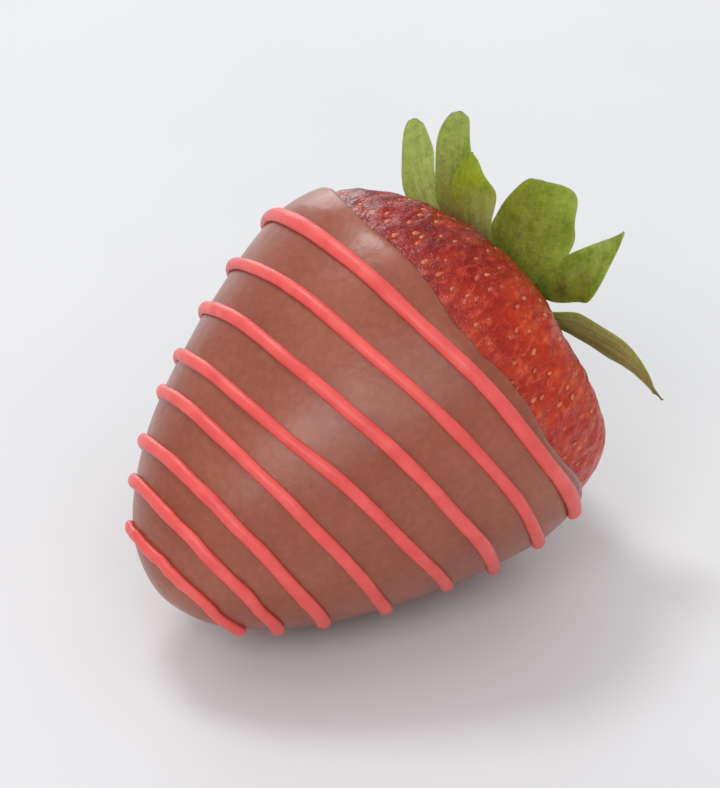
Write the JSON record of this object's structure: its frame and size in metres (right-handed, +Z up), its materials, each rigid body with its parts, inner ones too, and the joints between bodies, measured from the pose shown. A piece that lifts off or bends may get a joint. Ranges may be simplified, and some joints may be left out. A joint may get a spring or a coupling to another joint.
{
  "type": "chocolate coated strawberry",
  "caption": "Whole strawberry lying on its side, dipped in milk chocolate up to a slanting line and striped with coral icing, with its bare red shoulder and green leafy crown.",
  "frame": {"origin": "middle of the flat foot that the chocolate set on, at the height of the plate or tray", "axes": "+X runs level along the strawberry from above its tip towards its leaves, +Z up; the berry's own axis leans 18 degrees up from tip to crown in the XZ plane"},
  "size_m": [0.0571, 0.0451, 0.0473],
  "materials": {
    "fruit": "moist glossy strawberry skin",
    "chocolate": "satin set milk chocolate",
    "icing": "satin coral red icing",
    "leaf": "fresh green leaf, slightly waxy"
  },
  "bodies": {
    "root": {"fruit": "fruit", "chocolate_coat": "chocolate", "drizzle_1": "icing", "drizzle_2": "icing", "drizzle_3": "icing", "drizzle_4": "icing", "drizzle_5": "icing", "drizzle_6": "icing", "drizzle_7": "icing", "drizzle_8": "icing", "calyx": "leaf"}
  },
  "joints": []
}
